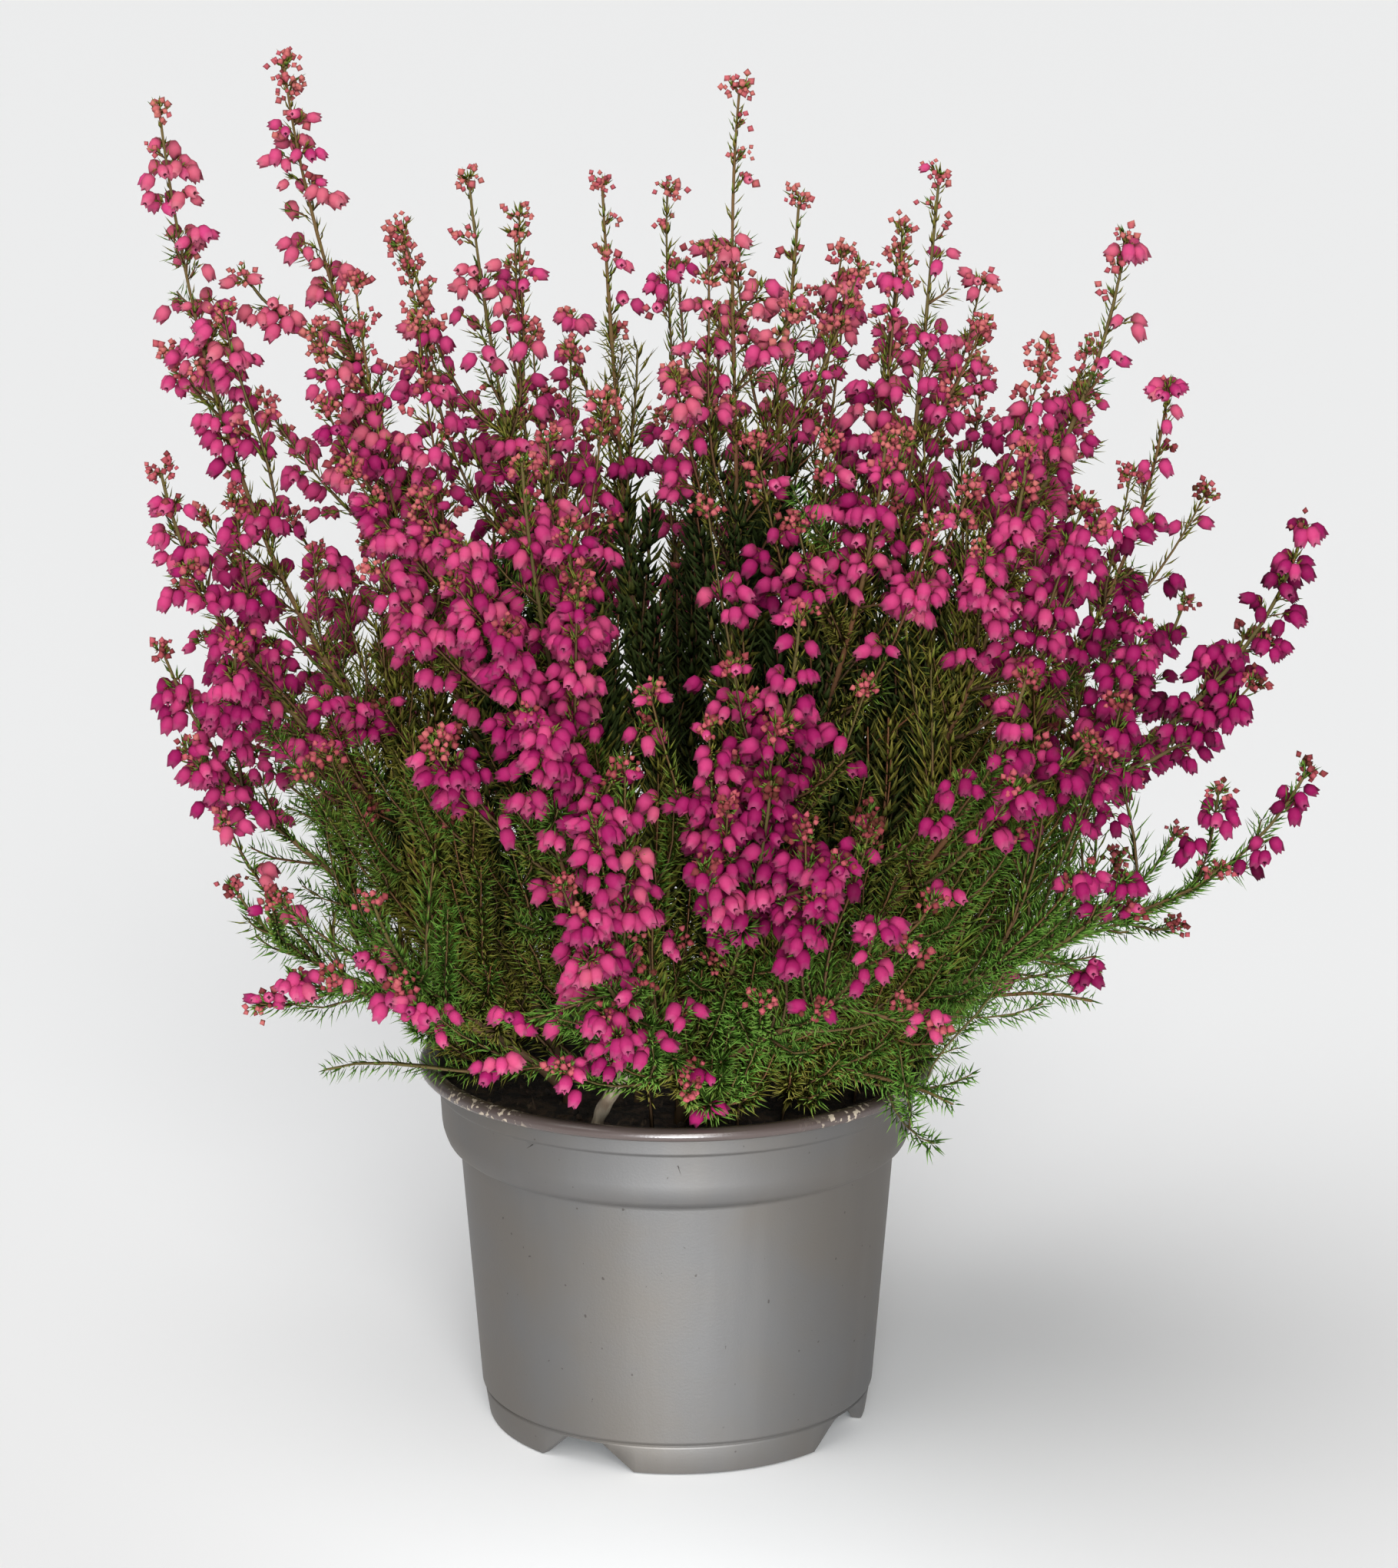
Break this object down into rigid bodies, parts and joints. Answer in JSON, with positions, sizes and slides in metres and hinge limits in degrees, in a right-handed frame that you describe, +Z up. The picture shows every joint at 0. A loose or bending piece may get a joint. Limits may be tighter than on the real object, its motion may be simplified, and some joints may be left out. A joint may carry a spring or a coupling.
{
  "type": "potted flowering heath",
  "caption": "Bushy heath with upright spikes of pink bell flowers and fine needles, rooted in peat in a tapered round nursery pot with a rolled rim.",
  "frame": {"origin": "middle of the pot's underside, on the surface that it stands on", "axes": "+Z up, -Y toward the front of the bush, +X to the right seen from the front"},
  "size_m": [0.2648, 0.2347, 0.3168],
  "materials": {
    "pot_plastic": "satin taupe injection moulded plastic",
    "peat": "dark crumbly peat",
    "bark": "grey brown ridged bark",
    "bells": "waxy pink flower bells on reddish twigs",
    "needles": "fine green needles on brown twigs"
  },
  "bodies": {
    "root": {"pot": "pot_plastic", "soil": "peat", "old_wood": "bark", "flower_spray_01a": "bells", "flower_spray_01b": "bells", "flower_spray_02a": "bells", "flower_spray_02b": "bells", "flower_spray_03a": "bells", "flower_spray_03b": "bells", "flower_spray_04a": "bells", "flower_spray_04b": "bells", "flower_spray_05a": "bells", "flower_spray_05b": "bells", "flower_spray_06a": "bells", "flower_spray_06b": "bells", "flower_spray_07a": "bells", "flower_spray_07b": "bells", "flower_spray_08a": "bells", "flower_spray_08b": "bells", "flower_spray_09a": "bells", "flower_spray_09b": "bells", "flower_spray_10a": "bells", "flower_spray_10b": "bells", "flower_spray_11a": "bells", "flower_spray_11b": "bells", "flower_spray_12a": "bells", "flower_spray_12b": "bells", "flower_spray_13a": "bells", "flower_spray_13b": "bells", "flower_spray_14a": "bells", "flower_spray_14b": "bells", "flower_spray_15a": "bells", "flower_spray_15b": "bells", "flower_spray_16a": "bells", "flower_spray_16b": "bells", "flower_spray_17a": "bells", "flower_spray_17b": "bells", "flower_spray_18a": "bells", "flower_spray_18b": "bells", "flower_spray_19a": "bells", "flower_spray_19b": "bells", "leafy_stem_01": "needles", "leafy_stem_02": "needles", "leafy_stem_03": "needles", "leafy_stem_04": "needles", "leafy_stem_05": "needles", "leafy_stem_06": "needles", "leafy_stem_07": "needles", "leafy_stem_08": "needles", "leafy_stem_09": "needles", "leafy_stem_10": "needles", "leafy_stem_11": "needles", "leafy_stem_12": "needles", "leafy_stem_13": "needles", "leafy_stem_14": "needles", "leafy_stem_15": "needles", "leafy_stem_16": "needles", "leafy_stem_17": "needles", "leafy_stem_18": "needles", "leafy_stem_19": "needles"}
  },
  "joints": []
}
